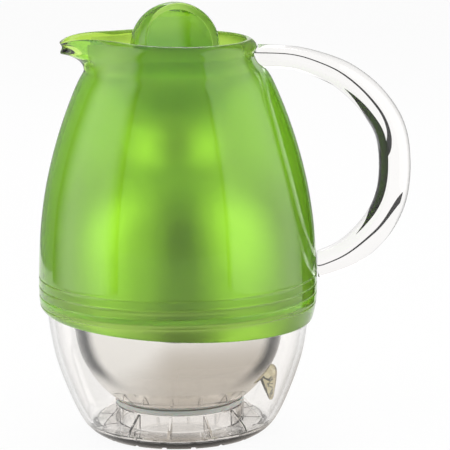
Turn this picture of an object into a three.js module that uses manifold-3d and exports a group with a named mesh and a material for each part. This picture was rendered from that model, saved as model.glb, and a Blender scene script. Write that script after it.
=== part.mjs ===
// A one-litre vacuum jug: a frosted green shell with a spout over a clear bowl base, a silvered glass flask
// on a clear support ring, a clear C-shaped handle and a screw stopper with a round grip.
// Millimetres, +Z up. The origin is on the table, on the axis of the jug. The handle points to +X.
import * as THREE from "three";
import { mergeVertices } from "three/addons/utils/BufferGeometryUtils.js";
import Module from "manifold-3d";

const wasm = await Module();
wasm.setup();

// Fits and facets
const clearance = 0.3; // between pieces that touch on the real jug
const overrun = 4; // how far a cut passes the face that it opens
const weld = 0.0001; // vertices closer than this are one
const bodySegments = 44;
const ringSegments = 32;
const smallSegments = 16;
const flankPoints = 18;
const bowlPoints = 11;
const flaskPoints = 17;
const domePoints = 8;

// Outer shell
const shellRadius = 78.4;
const shellWall = 2.8;
const hemHeight = 67.2; // on the axis: the hem slants
const hemSlant = THREE.MathUtils.degToRad(2.8);
const hemBlendHeight = 6.4; // the slant fades out over this height
const shoulderHeight = 200; // where the flank ends and the neck begins
const rimHeight = 221.9;
const neckRadius = 44;
const spoutReach = 65;
const rimRise = 2.5; // how much higher the rim is at the spout's root than at the handle
const ribCount = 4;
const ribTopHeight = 90.5;
const ribPitch = 5.2;
const ribWidth = 1.4;
const ribDepth = 0.45;

// Bowl base
const bowlWall = 3;
const bowlFloor = 5;
const hemOverlap = 1.9; // the shell's edge stands out this far over the bowl
const spigotLedgeRise = 8.8; // height above the hem of the ledge that the hem seal lies on
const spigotLedgeWidth = 2;
const spigotRise = 6; // the spigot goes this far above its ledge
const footNotchCount = 18;
const footNotchWidth = 3;
const footNotchHeight = 1.4;
const footNotchDepth = 2.6;
const hemSealThickness = 3;

// Flask
const glassWall = 1.6;
const vacuumGap = 3.3;
const flaskClearance = 18.4; // between shell and flask at the widest place
const flaskFloorClearance = 5.7;
const mouthDepth = 39.9; // from the rim down to the flask's mouth
const flaskNeckRadius = 27;
const lipThickness = 1.6;
const tipLength = 19;
const tipRadius = 5.6;
const tipHeight = 34.5; // of the middle of the tip's root
const tipLean = THREE.MathUtils.degToRad(8);
const padRadius = 4;
const padHeight = 34;
const padCount = 3;

// Support under the flask
const collarWall = 3;
const seatThickness = 1.4;
const skirtClearance = 4; // between the skirt and the corner of the bowl's floor
const skirtWidth = 11.1; // from the collar to the skirt's edge
const skirtThickness = 1.8;
const gussetCount = 12;
const gussetThickness = 1.6;
const gussetTurn = THREE.MathUtils.degToRad(-83);

// Pouring insert and its gasket
const gasketWeb = 1.7;
const gasketSkirt = 5.5;
const gasketWall = 2;
const throatStep = 2.5; // the throat is this much wider than the glass neck
const throatWall = 2.6;
const throatLength = 12.4;
const funnelWall = 2.4;
const funnelEdgeDrop = 16.6; // from the rim down to the insert's upper edge

// Stopper
const knobRadius = 24.8;
const knobCentreDrop = 4.4; // from the rim down to the middle of the knob
const knobWall = 2.5;
const gripDistance = 12.3; // from the knob's middle to each flat
const gripLean = THREE.MathUtils.degToRad(20);
const gripTurn = THREE.MathUtils.degToRad(22);
const pocketDepth = 4;
const pocketRadius = 20.9;
const pocketTaperWidth = 2;
const flangeOverhang = 2.7;
const flangeThickness = 3.7;
const flangeGasketThickness = 2;
const plugRadius = 17.8;
const plugWall = 2;
const plugDip = 5; // how far the plug reaches into the glass neck
const sealThickness = 3;
const lugCount = 3;
const lugThickness = 2.6;
const lugSweep = THREE.MathUtils.degToRad(58);
const threadPitch = 6; // the stopper rises this much in one turn
const lugSteps = 8;

// Handle
const handleReach = 121.6; // from the jug's axis to the middle of the grip
const handleTopDrop = 9.9; // from the rim down to the middle of the upper arm
const handleFootHeight = 92.4;
const armHeight = 13;
const gripHeight = 17.9;
const footArmHeight = 15.2;
const armWidth = 19;
const gripWidth = 24;
const handleSquareness = 2.5; // 2 is an ellipse, more is squarer
const handleSides = 16;
const handleSteps = 32;
const tenonRadius = 3;

// Outlines, as [radius, height] shares of the sizes that they follow

// Shell's flank: radius of shellRadius, height between hem and shoulder
const flankShares = [
  [0.96, 0],
  [0.973, 0.012],
  [0.987, 0.034],
  [0.997, 0.068],
  [1, 0.13],
  [0.998, 0.209],
  [0.989, 0.322],
  [0.968, 0.435],
  [0.937, 0.548],
  [0.893, 0.661],
  [0.837, 0.774],
  [0.768, 0.887],
  [0.688, 1],
];
// Neck and lip at the handle's root, up outside and down inside: radius of neckRadius, height from
// shoulder to rim
const neckShares = [
  [1.161, 0.178],
  [1.107, 0.283],
  [1.052, 0.406],
  [1.014, 0.557],
  [1, 0.648],
  [1.016, 0.708],
  [1.036, 0.772],
  [1.03, 0.854],
  [0.998, 0.941],
  [0.959, 0.991],
  [0.923, 1],
  [0.902, 0.968],
  [0.898, 0.868],
  [0.923, 0.685],
  [0.939, 0.571],
  [0.977, 0.411],
  [1.041, 0.256],
  [1.1, 0.119],
];
// The same points along the middle of the spout: radius of spoutReach, height from shoulder to rim
const spoutShares = [
  [0.785, 0.164],
  [0.778, 0.283],
  [0.795, 0.429],
  [0.846, 0.543],
  [0.935, 0.648],
  [0.991, 0.621],
  [0.989, 0.685],
  [0.971, 0.749],
  [0.977, 0.822],
  [1, 0.886],
  [0.989, 0.932],
  [0.963, 0.927],
  [0.942, 0.849],
  [0.889, 0.749],
  [0.792, 0.621],
  [0.732, 0.447],
  [0.723, 0.256],
  [0.745, 0.119],
];
// How much further out the same points stand away from the handle's root, shares of neckRadius
const neckFillShares = [
  0.007, 0.043, 0.07, 0.077, 0.068, 0.041, 0.014, 0, 0, 0, 0, 0.007, 0.034, 0.064, 0.075, 0.045, 0, 0,
];
const rootHalfAngle = THREE.MathUtils.degToRad(26); // where the root's hollow has faded to a third
const rootBlendPower = 4;
const spoutHalfAngle = THREE.MathUtils.degToRad(21.6); // where the spout has blended out to a third
const spoutBlendPower = 2.6;
const spoutTipPower = 8;
const spoutCrowding = 0.35; // how much denser the facets are at the spout
const lipBottomShare = 0.65; // the rim's rise starts at this share of the neck's height
const neckOutsideCount = 7; // the first points of the neck run up its outside to the lip
const neckInsideStart = 13; // the points from this one on run down its inside from the lip

// Bowl outside: radius of the bowl's upper radius, height of hemHeight
const bowlShares = [
  [0.63, 0],
  [0.693, 0.045],
  [0.751, 0.119],
  [0.808, 0.238],
  [0.86, 0.372],
  [0.911, 0.521],
  [0.951, 0.67],
  [0.978, 0.818],
  [0.996, 0.967],
  [1, 1.04],
];
// Flask's outer wall below its widest place: radius of the flask, height of the flask
const flaskLowerShares = [
  [0, 0],
  [0.2, 0.0018],
  [0.4, 0.017],
  [0.6, 0.053],
  [0.79, 0.117],
  [0.913, 0.19],
  [0.973, 0.266],
  [0.997, 0.358],
  [1, 0.475],
];
// Above it: share of the way from the neck's radius to the flask's, height of the flask
const flaskUpperShares = [
  [0.988, 0.568],
  [0.936, 0.638],
  [0.815, 0.702],
  [0.633, 0.755],
  [0.424, 0.796],
  [0.23, 0.828],
  [0.091, 0.854],
  [0.018, 0.883],
  [0, 0.918],
];
// Handle's middle line: share of the way out to the grip, share of the way up from foot to arm
const upperArmShares = [
  [0, 1],
  [0.29, 0.99],
  [0.496, 0.95],
  [0.67, 0.891],
  [0.844, 0.784],
  [0.97, 0.643],
  [1, 0.465],
];
const lowerArmShares = [
  [0.935, 0.305],
  [0.739, 0.172],
  [0.415, 0.063],
  [0, 0],
];
// Where along the handle its section widens to the grip's, and where it narrows to the foot's
const gripBlendShares = [0.1, 0.42];
const footBlendShares = [0.78, 1];
// Seal-off tip: radius of the tip, share of its length
const tipShares = [
  [0, 0],
  [0.22, 0.01],
  [0.34, 0.09],
  [0.6, 0.38],
  [0.86, 0.62],
  [1, 0.82],
  [1, 1],
  [0, 1],
];

// Sizes that follow from the ones above
const flaskRadius = shellRadius - flaskClearance;
const flaskBottom = bowlFloor + flaskFloorClearance;
const flaskMouth = rimHeight - mouthDepth;
const flaskHeight = flaskMouth - flaskBottom;
const glassNeckRadius = flaskNeckRadius - 2 * glassWall - vacuumGap;
const hemRadius = shellRadius * flankShares[0][0];
const bowlRadius = hemRadius - hemOverlap;
const spigotLedgeHeight = hemHeight + spigotLedgeRise;
const hemSealHeight = spigotLedgeHeight + clearance;
const throatRadius = glassNeckRadius + throatStep;
const funnelBottom = flaskMouth + gasketWeb + 2 * clearance;
const seatHeight = funnelBottom + throatLength;
const flangeRadius = knobRadius + flangeOverhang;
const flangeBottom = seatHeight + flangeGasketThickness + 2 * clearance;
const flangeTop = flangeBottom + flangeThickness;
const plugTop = flangeBottom - clearance;
const plugBottom = flaskMouth - plugDip;
const knobCentre = rimHeight - knobCentreDrop;
const lugRadius = throatRadius - clearance;
const armCentre = rimHeight - handleTopDrop;

// Geometry helpers

const point = (radius, height) => new THREE.Vector2(radius, height);

const smooth = (points, count) => new THREE.SplineCurve(points).getPoints(count);

// Each point moved to the left of the path's direction.
function shifted(path, distance) {
  return path.map((here, i) => {
    const before = path[Math.max(i - 1, 0)];
    const after = path[Math.min(i + 1, path.length - 1)];
    const along = after.clone().sub(before).normalize();
    const radius = here.x === 0 ? 0 : here.x - along.y * distance;
    return point(radius, here.y + along.x * distance);
  });
}

// The radius of a path that climbs steadily, at a height.
function radiusAt(path, height) {
  for (let i = 1; i < path.length; i++) {
    if (path[i].y < height && i < path.length - 1) continue;
    const share = (height - path[i - 1].y) / (path[i].y - path[i - 1].y);
    return THREE.MathUtils.lerp(path[i - 1].x, path[i].x, share);
  }
}

// The height of a path that widens steadily, at a radius.
function heightAt(path, radius) {
  const turned = path.map((here) => point(here.y, here.x));
  return radiusAt(turned, radius);
}

// An outline turned round the Z axis. Where it doesn't run from axis to axis it is closed on itself.
// Crowding packs the facets towards -X, and shape can move an outline point by its angle from +X.
function revolve(outline, segments, crowding = 0, shape = (index) => outline[index]) {
  const last = outline[outline.length - 1];
  const onAxis = outline[0].x === 0 && last.x === 0;
  const closed = onAxis ? outline : [...outline, outline[0]];
  const turned = new THREE.LatheGeometry(closed, segments);
  const place = turned.attributes.position;
  for (let i = 0; i < place.count; i++) {
    const turn = (2 * Math.PI * Math.floor(i / closed.length)) / segments;
    const angle = turn + crowding * Math.sin(turn);
    const here = shape((i % closed.length) % outline.length, angle);
    place.setXYZ(i, here.x * Math.cos(angle), here.x * Math.sin(angle), here.y);
  }
  return turned;
}

const revolveBody = (outline, shape) => revolve(outline, bodySegments, spoutCrowding, shape);

const ringOutline = (inner, outer, bottom, top) => [
  point(inner, bottom),
  point(outer, bottom),
  point(outer, top),
  point(inner, top),
];

function toSolid(geometry) {
  const bare = geometry.clone();
  bare.deleteAttribute("normal");
  bare.deleteAttribute("uv");
  const merged = mergeVertices(bare, weld);
  return new wasm.Manifold(
    new wasm.Mesh({
      numProp: 3,
      vertProperties: merged.attributes.position.array,
      triVerts: new Uint32Array(merged.index.array),
    }),
  );
}

function toGeometry(solid) {
  const mesh = solid.getMesh();
  const geometry = new THREE.BufferGeometry();
  geometry.setAttribute("position", new THREE.BufferAttribute(mesh.vertProperties, 3));
  geometry.setIndex(new THREE.BufferAttribute(mesh.triVerts, 1));
  return geometry;
}

const join = (...parts) => parts.map(toSolid).reduce((whole, part) => whole.add(part));
const cut = (solid, ...tools) => tools.map(toSolid).reduce((left, tool) => left.subtract(tool), solid);

const carafe = new THREE.Group();

function addPiece(group, name, geometry, { color, roughness, metalness = 0, opacity = 1 }) {
  geometry.computeVertexNormals();
  const material = new THREE.MeshStandardMaterial({
    color,
    roughness,
    metalness,
    opacity,
    transparent: opacity < 1,
  });
  const mesh = new THREE.Mesh(geometry, material);
  mesh.name = name;
  group.add(mesh);
}

const frostedGreen = { color: 0x6fae2c, roughness: 0.45, opacity: 0.7 };
const clearGreen = { color: 0x8fc832, roughness: 0.15, opacity: 0.6 };
const clearPlastic = { color: 0xf4f5f3, roughness: 0.04, opacity: 0.25 };
const silveredGlass = { color: 0xd6d3cb, roughness: 0.06, metalness: 1 };
const tipGlass = { color: 0xb9a06a, roughness: 0.05, opacity: 0.6 };
const softSilicone = { color: 0xe2e6df, roughness: 0.6, opacity: 0.7 };
const palePad = { color: 0xcfc8b8, roughness: 0.9 };
const paleFoam = { color: 0xf1efe6, roughness: 0.95 };

// Outer shell

const flankHeight = shoulderHeight - hemHeight;
const neckHeight = rimHeight - shoulderHeight;
const flankKnots = flankShares.map(([r, h]) => point(r * shellRadius, hemHeight + h * flankHeight));
const flank = smooth(flankKnots, flankPoints);
const flankInside = shifted(flank, shellWall);

function flankWithRibs() {
  const ribs = [];
  for (let i = 0; i < ribCount; i++) {
    const height = ribTopHeight - i * ribPitch;
    const radius = radiusAt(flank, height);
    ribs.unshift(
      point(radiusAt(flank, height - ribWidth / 2), height - ribWidth / 2),
      point(radius - ribDepth, height),
      point(radiusAt(flank, height + ribWidth / 2), height + ribWidth / 2),
    );
  }
  const nearRib = (p) => ribs.some((rib) => Math.abs(rib.y - p.y) < ribWidth / 2);
  return [...flank.filter((p) => !nearRib(p)), ...ribs].sort((a, b) => a.y - b.y);
}

// The flank's inner face, from shoulder to hem, ending in a straight seat for the bowl's spigot.
function shellInside() {
  const seatRadius = bowlRadius + clearance;
  const sealTop = hemSealHeight + hemSealThickness + clearance;
  const upper = flankInside.filter((p, i) => i % 2 === 0 && p.y > sealTop + shellWall);
  upper.reverse();
  return [
    ...upper,
    point(radiusAt(flankInside, sealTop), sealTop),
    point(radiusAt(flankInside, spigotLedgeHeight), spigotLedgeHeight),
    point(seatRadius, hemHeight + hemBlendHeight),
    point(seatRadius, hemHeight),
  ];
}

const ontoNeck = ([r, h]) => point(r * neckRadius, shoulderHeight + h * neckHeight);

function spoutBlend(angle) {
  const away = Math.abs(Math.PI - angle);
  return Math.exp(-((away / spoutHalfAngle) ** spoutBlendPower));
}

// How much is left, at an angle from the handle, of the neck's hollow for the handle's root.
function rootBlend(angle) {
  const away = Math.PI - Math.abs(Math.PI - angle);
  return Math.exp(-((away / rootHalfAngle) ** rootBlendPower));
}

// A neck point at an angle from the handle: the round outline blended into the spout's.
function neckPoint(index, angle) {
  const [rootR, roundH] = neckShares[index];
  const roundR = rootR + neckFillShares[index] * (1 - rootBlend(angle));
  const [spoutR, spoutH] = spoutShares[index];
  const blend = spoutBlend(angle);
  const lipShare = Math.max(0, (roundH - lipBottomShare) / (1 - lipBottomShare));
  const rise = rimRise * lipShare * ((1 - Math.cos(angle)) / 2) ** 2;
  const radius = THREE.MathUtils.lerp(roundR * neckRadius, spoutR * spoutReach, blend);
  const roundHeight = roundH * neckHeight + rise;
  const height = THREE.MathUtils.lerp(roundHeight, spoutH * neckHeight, blend ** spoutTipPower);
  return point(radius, shoulderHeight + height);
}

function buildShell() {
  const outside = flankWithRibs();
  const inside = shellInside();
  const neck = neckShares.map((share, i) => neckPoint(i, 0));
  const outline = [...outside, ...neck, ...inside];
  const shape = (index, angle) => {
    const inNeck = index - outside.length;
    if (inNeck >= 0 && inNeck < neck.length) return neckPoint(inNeck, angle);
    const { x: radius, y: height } = outline[index];
    const slant = Math.max(0, 1 - (height - hemHeight) / hemBlendHeight);
    return point(radius, height - slant * radius * Math.cos(angle) * Math.tan(hemSlant));
  };
  return toSolid(revolveBody(outline, shape));
}

// Everything inside the shell's outer face, grown by the clearance, to fit pieces against it.
function shellEnvelope() {
  const neck = neckShares.slice(0, neckOutsideCount).map(ontoNeck);
  const outside = shifted([...flank, ...neck], -clearance);
  const top = outside[outside.length - 1];
  const crest = point(top.x, rimHeight + rimRise + overrun);
  const bottom = point(0, outside[0].y);
  return revolveBody([bottom, ...outside, crest, point(0, crest.y)]);
}

const neckInside = neckShares.slice(neckInsideStart).map(ontoNeck).reverse();
const neckInsideAt = (height) => radiusAt(neckInside, height);

// Handle

function handlePath() {
  const startX = neckRadius - shellWall;
  const endX = shellRadius - shellWall;
  const rise = armCentre - handleFootHeight;
  const place = (from, [out, up]) =>
    new THREE.Vector3(from + (handleReach - from) * out, 0, handleFootHeight + rise * up);
  return new THREE.CatmullRomCurve3([
    ...upperArmShares.map((share) => place(startX, share)),
    ...lowerArmShares.map((share) => place(endX, share)),
  ]);
}

// Sizes along the handle, blended from the upper arm to the grip and on to the foot.
function blendedSize(share, start, middle, end) {
  const toGrip = THREE.MathUtils.smoothstep(share, ...gripBlendShares);
  const toFoot = THREE.MathUtils.smoothstep(share, ...footBlendShares);
  return THREE.MathUtils.lerp(THREE.MathUtils.lerp(start, middle, toGrip), end, toFoot);
}

function bentBar(path) {
  const bar = new THREE.CylinderGeometry(1, 1, 1, handleSides, handleSteps);
  const place = bar.attributes.position;
  for (let i = 0; i < place.count; i++) {
    const share = place.getY(i) + 0.5;
    const middle = path.getPointAt(share);
    const along = path.getTangentAt(share);
    const c = place.getX(i);
    const s = place.getZ(i);
    const reach = (Math.abs(c) ** handleSquareness + Math.abs(s) ** handleSquareness) ** (1 / handleSquareness);
    const size = reach === 0 ? 0 : Math.hypot(c, s) / reach;
    const out = (c * size * blendedSize(share, armHeight, gripHeight, footArmHeight)) / 2;
    const side = (s * size * blendedSize(share, armWidth, gripWidth, armWidth)) / 2;
    place.setXYZ(i, middle.x - along.z * out, side, middle.z + along.x * out);
  }
  return bar;
}

// A peg along X from a radius inside the shell's wall to the middle of the arm outside it.
function tenon(radius, height, from, to) {
  const peg = new THREE.CylinderGeometry(radius, radius, to - from, smallSegments);
  peg.rotateZ(Math.PI / 2);
  peg.translate((from + to) / 2, 0, height);
  return peg;
}

// The handle's two tenons, ending flush with the shell's inner face, or longer as cutters for their holes.
function tenons(radius, extra) {
  const upper = neckInsideAt(armCentre);
  const lower = shellRadius - shellWall;
  return [
    tenon(radius, armCentre, upper - extra, upper + shellWall + armHeight / 2),
    tenon(radius, handleFootHeight, lower - extra, shellRadius + footArmHeight / 2),
  ];
}

function buildHandle() {
  const bar = cut(toSolid(bentBar(handlePath())), shellEnvelope());
  return tenons(tenonRadius, 0).reduce((whole, peg) => whole.add(toSolid(peg)), bar);
}

const tenonHoles = tenons(tenonRadius + clearance, overrun);
addPiece(carafe, "outer_shell", toGeometry(cut(buildShell(), ...tenonHoles)), frostedGreen);
addPiece(carafe, "handle", toGeometry(buildHandle()), clearPlastic);

// Bowl base

const bowlKnots = bowlShares.map(([r, h]) => point(r * bowlRadius, h * hemHeight));
const bowlOutside = smooth(bowlKnots, bowlPoints);
const bowlInside = shifted(bowlOutside, bowlWall).filter((p) => p.y > bowlFloor + bowlWall);
const bowlCornerRadius = bowlInside[0].x - bowlWall;

function buildBowl() {
  const inside = [...bowlInside].reverse();
  const ledgeRadius = bowlRadius - spigotLedgeWidth;
  const spigotTop = spigotLedgeHeight + spigotRise;
  const outline = [
    point(0, 0),
    ...bowlOutside,
    point(bowlRadius, spigotLedgeHeight),
    point(ledgeRadius, spigotLedgeHeight),
    point(ledgeRadius, spigotTop),
    point(bowlRadius - bowlWall - spigotLedgeWidth / 2, spigotTop),
    ...inside,
    point(bowlCornerRadius + bowlWall / 2, bowlFloor + bowlWall / 3),
    point(bowlCornerRadius, bowlFloor),
    point(0, bowlFloor),
  ];
  const notches = [];
  for (let i = 0; i < footNotchCount; i++) {
    const notch = new THREE.BoxGeometry(footNotchDepth + overrun, footNotchWidth, footNotchHeight + overrun);
    const outer = bowlOutside[0].x + overrun - footNotchDepth / 2;
    notch.translate(outer - overrun / 2, 0, footNotchHeight / 2 - overrun / 2);
    notch.rotateZ((2 * Math.PI * i) / footNotchCount);
    notches.push(notch);
  }
  return cut(toSolid(revolveBody(outline)), ...notches);
}

function buildHemSeal() {
  const outer = Math.min(
    radiusAt(flankInside, hemSealHeight) - clearance,
    radiusAt(flankInside, hemSealHeight + hemSealThickness) - clearance,
  );
  const inner = bowlRadius - spigotLedgeWidth + clearance;
  return revolveBody(ringOutline(inner, outer, hemSealHeight, hemSealHeight + hemSealThickness));
}

addPiece(carafe, "base_bowl", toGeometry(buildBowl()), clearPlastic);
addPiece(carafe, "hem_seal", buildHemSeal(), softSilicone);

// Flask

const flaskLower = flaskLowerShares.map(([r, h]) => point(r * flaskRadius, flaskBottom + h * flaskHeight));
const flaskUpper = flaskUpperShares.map(([share, h]) =>
  point(THREE.MathUtils.lerp(flaskNeckRadius, flaskRadius, share), flaskBottom + h * flaskHeight),
);
const flaskPath = smooth([...flaskLower, ...flaskUpper], flaskPoints);
flaskPath[0].x = 0;
const flaskNeckTop = point(flaskNeckRadius, flaskMouth);
const flaskMiddle = flaskBottom + flaskHeight / 2;
const flaskBelow = flaskPath.filter((p) => p.y < flaskMiddle);

// The glass between a path and the same path moved inward, with the neck's straight end.
function glassShell(outer, thickness, lip) {
  const inner = shifted(outer, thickness);
  inner.reverse();
  return revolve([...outer, ...lip, ...inner], ringSegments);
}

function buildOuterGlass() {
  const lip = [flaskNeckTop, point(flaskNeckRadius - glassWall, flaskMouth)];
  return glassShell(flaskPath, glassWall, lip);
}

function buildInnerGlass() {
  const outer = shifted(flaskPath, glassWall + vacuumGap);
  const lipRadius = flaskNeckRadius - glassWall - clearance;
  const lipBottom = flaskMouth - lipThickness;
  const lip = [
    point(glassNeckRadius + glassWall, lipBottom - vacuumGap / 2),
    point(lipRadius - vacuumGap / 3, lipBottom),
    point(lipRadius, lipBottom + lipThickness / 2),
    point(lipRadius - lipThickness / 2, flaskMouth),
    point(glassNeckRadius, flaskMouth),
  ];
  return glassShell(outer, glassWall, lip);
}

function buildTip() {
  const length = tipLength;
  const outline = tipShares.map(([r, share]) => point(r * tipRadius, share * length - length));
  const tip = revolve(outline, smallSegments);
  tip.rotateY(-tipLean);
  const rootRadius = radiusAt(flaskBelow, tipHeight);
  tip.translate(rootRadius - clearance, 0, tipHeight);
  const glass = shifted(flaskPath, -clearance);
  glass[0].x = 0;
  const envelope = [...glass, point(0, flaskMouth)];
  return cut(toSolid(tip), revolve(envelope, ringSegments));
}

function buildPad(index) {
  const radius = radiusAt(flaskBelow, padHeight);
  const step = padRadius / 2;
  const widening = radiusAt(flaskBelow, padHeight + step) - radiusAt(flaskBelow, padHeight - step);
  const slope = Math.atan2(widening, 2 * step);
  const pad = new THREE.CylinderGeometry(padRadius, padRadius, vacuumGap - 4 * clearance, smallSegments);
  pad.rotateZ(Math.PI / 2);
  pad.translate(-glassWall - vacuumGap / 2, 0, 0);
  pad.rotateY(slope);
  pad.translate(radius, 0, padHeight);
  pad.rotateZ((2 * Math.PI * index) / padCount + Math.PI / padCount);
  return pad;
}

addPiece(carafe, "flask_outer", buildOuterGlass(), silveredGlass);
addPiece(carafe, "flask_inner", buildInnerGlass(), silveredGlass);
addPiece(carafe, "flask_seal_tip", toGeometry(buildTip()), tipGlass);
for (let i = 0; i < padCount; i++) addPiece(carafe, "spacer_pad_" + (i + 1), buildPad(i), palePad);

// Support ring and seat

const lowerFlask = shifted(flaskPath, -clearance).filter((p) => p.x > 0 && p.y < flaskMiddle);
const skirtRadius = bowlCornerRadius - skirtClearance;
const collarRadius = skirtRadius - skirtWidth;
const collarInner = collarRadius - collarWall;
const collarTop = heightAt(lowerFlask, collarInner) - seatThickness;

function buildSupport() {
  const bottom = bowlFloor + clearance;
  const collar = revolve(ringOutline(collarInner, collarRadius, bottom, collarTop), ringSegments);
  const skirtTop = bottom + skirtThickness;
  const skirt = revolve(ringOutline(collarInner, skirtRadius, bottom, skirtTop), ringSegments);
  const parts = [collar, skirt];
  for (let i = 0; i < gussetCount; i++) {
    const side = new THREE.Shape([
      point(collarRadius - collarWall / 2, bottom + skirtThickness / 2),
      point(skirtRadius - skirtThickness / 2, bottom + skirtThickness / 2),
      point(collarRadius - collarWall / 2, collarTop - skirtThickness / 2),
    ]);
    const gusset = new THREE.ExtrudeGeometry(side, { depth: gussetThickness, bevelEnabled: false });
    gusset.rotateX(Math.PI / 2);
    gusset.translate(0, gussetThickness / 2, 0);
    gusset.rotateZ(gussetTurn + (2 * Math.PI * i) / gussetCount);
    parts.push(gusset);
  }
  return join(...parts);
}

function buildSeat() {
  const bottom = collarTop + clearance;
  return revolve(
    [
      point(collarInner, bottom),
      point(collarRadius, bottom),
      point(collarRadius, heightAt(lowerFlask, collarRadius)),
      point(collarInner, heightAt(lowerFlask, collarInner)),
    ],
    ringSegments,
  );
}

addPiece(carafe, "support_ring", toGeometry(buildSupport()), clearPlastic);
addPiece(carafe, "seat_ring", buildSeat(), softSilicone);

// Pouring insert

function buildFunnel() {
  const edge = rimHeight - funnelEdgeDrop;
  const edgeRadius = neckInsideAt(edge) - clearance;
  const seatEdge = flangeRadius + gasketWall / 2;
  const flangeFoot = funnelBottom + funnelWall;
  const outerRadius = throatRadius + throatWall;
  const outline = [
    point(throatRadius, funnelBottom),
    point(flaskNeckRadius, funnelBottom),
    point(flaskNeckRadius, flangeFoot),
    point(outerRadius, flangeFoot + funnelWall / 2),
    point(outerRadius, seatHeight - 2 * funnelWall),
    point(seatEdge + funnelWall / 2, seatHeight - funnelWall),
    point(edgeRadius - funnelWall / 2, edge - 1.5 * funnelWall),
    point(edgeRadius, edge - funnelWall),
    point(edgeRadius, edge),
    point(edgeRadius - funnelWall, edge),
    point(seatEdge + funnelWall, seatHeight + funnelWall / 2),
    point(seatEdge, seatHeight),
    point(throatRadius + funnelWall / 4, seatHeight),
    point(throatRadius, seatHeight - funnelWall / 4),
  ];
  return revolve(outline, ringSegments);
}

function buildNeckGasket() {
  const top = funnelBottom - clearance;
  const bottom = flaskMouth + clearance;
  const inside = flaskNeckRadius + clearance;
  return revolve(
    [
      point(throatRadius, bottom),
      point(inside, bottom),
      point(inside, bottom - gasketSkirt),
      point(inside + gasketWall, bottom - gasketSkirt),
      point(inside + gasketWall, top),
      point(throatRadius, top),
    ],
    ringSegments,
  );
}

addPiece(carafe, "pour_funnel", buildFunnel(), clearGreen);
addPiece(carafe, "neck_gasket", buildNeckGasket(), softSilicone);

// Stopper

const stopper = new THREE.Group();
carafe.add(stopper);

// A tool lying on the front or back flat, its +X pointing out of the knob.
function ontoFlat(tool, side) {
  tool.rotateY(-gripLean);
  tool.rotateZ(gripTurn - (side * Math.PI) / 2);
  tool.translate(0, 0, knobCentre);
  return tool;
}

// A dome on a skirt, cut by two leaning flats.
function knobBlock(radius, distance, bottom) {
  const dome = new THREE.Path();
  dome.absarc(0, knobCentre, radius, 0, Math.PI / 2, false);
  const arc = dome.getPoints(domePoints);
  const crown = point(0, knobCentre + radius);
  const outline = [point(0, bottom), point(radius, bottom), ...arc.slice(0, -1), crown];
  const flats = [1, -1].map((side) => {
    const flat = new THREE.BoxGeometry(radius, 4 * radius, 4 * radius);
    flat.translate(distance + radius / 2, 0, 0);
    return ontoFlat(flat, side);
  });
  return cut(toSolid(revolve(outline, ringSegments)), ...flats);
}

function buildKnob() {
  const bottom = flangeTop + clearance;
  const block = knobBlock(knobRadius, gripDistance, bottom);
  const hollow = knobBlock(knobRadius - knobWall, gripDistance - pocketDepth - knobWall, bottom - overrun);
  const pockets = [1, -1].map((side) => {
    const reach = pocketDepth + overrun;
    const flare = (pocketTaperWidth * overrun) / pocketDepth;
    const mouth = pocketRadius + flare;
    const pocket = new THREE.CylinderGeometry(mouth, pocketRadius - pocketTaperWidth, reach, ringSegments);
    pocket.rotateZ(-Math.PI / 2);
    pocket.translate(gripDistance - pocketDepth + reach / 2, 0, 0);
    return ontoFlat(pocket, side);
  });
  return cut(block, ...pockets).subtract(hollow);
}

function buildFlange() {
  const outline = [
    point(0, flangeBottom),
    point(flangeRadius, flangeBottom),
    point(flangeRadius, flangeTop - flangeThickness / 4),
    point(flangeRadius - flangeThickness / 4, flangeTop),
    point(0, flangeTop),
  ];
  return revolve(outline, ringSegments);
}

// One thread lug: a ramp round the plug that climbs with the thread's lead.
function lugGeometry(index, inner, outer, middle) {
  const lug = new THREE.BoxGeometry(1, 1, 1, 1, lugSteps, 1);
  const place = lug.attributes.position;
  for (let i = 0; i < place.count; i++) {
    const radius = THREE.MathUtils.lerp(inner, outer, place.getX(i) + 0.5);
    const turn = place.getY(i) * lugSweep;
    const angle = turn + (2 * Math.PI * index) / lugCount;
    const height = middle + place.getZ(i) * lugThickness + (turn / (2 * Math.PI)) * threadPitch;
    place.setXYZ(i, radius * Math.cos(angle), radius * Math.sin(angle), height);
  }
  return lug;
}

function buildPlug() {
  const grooveRadius = plugRadius - plugWall / 2;
  const grooveBottom = plugBottom + plugWall - clearance;
  const grooveTop = plugBottom + plugWall + sealThickness + clearance;
  const bore = plugRadius - plugWall;
  const outline = [
    point(0, plugBottom),
    point(plugRadius, plugBottom),
    point(plugRadius, grooveBottom),
    point(grooveRadius, grooveBottom),
    point(grooveRadius, grooveTop),
    point(plugRadius, grooveTop),
    point(plugRadius, plugTop),
    point(bore, plugTop),
    point(bore, grooveTop),
    point(grooveRadius - plugWall, grooveTop - plugWall / 2),
    point(grooveRadius - plugWall, plugBottom + plugWall),
    point(0, plugBottom + plugWall),
  ];
  let plug = toSolid(revolve(outline, ringSegments));
  const middle = (funnelBottom + seatHeight) / 2;
  for (let i = 0; i < lugCount; i++) {
    plug = plug.add(toSolid(lugGeometry(i, plugRadius - plugWall / 2, lugRadius, middle)));
  }
  return plug;
}

function buildCore() {
  const bottom = plugBottom + plugWall + sealThickness + 2 * clearance;
  return revolve(
    [
      point(0, bottom),
      point(plugRadius - plugWall - clearance, bottom),
      point(plugRadius - plugWall - clearance, plugTop - clearance),
      point(0, plugTop - clearance),
    ],
    ringSegments,
  );
}

function buildSealRing() {
  const inner = plugRadius - plugWall / 2 + clearance;
  const outer = glassNeckRadius - clearance;
  const bottom = plugBottom + plugWall;
  const middle = bottom + sealThickness / 2;
  return revolve(
    [
      point(inner, bottom),
      point(plugRadius, bottom),
      point(outer, middle),
      point(plugRadius, bottom + sealThickness),
      point(inner, bottom + sealThickness),
    ],
    ringSegments,
  );
}

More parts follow.
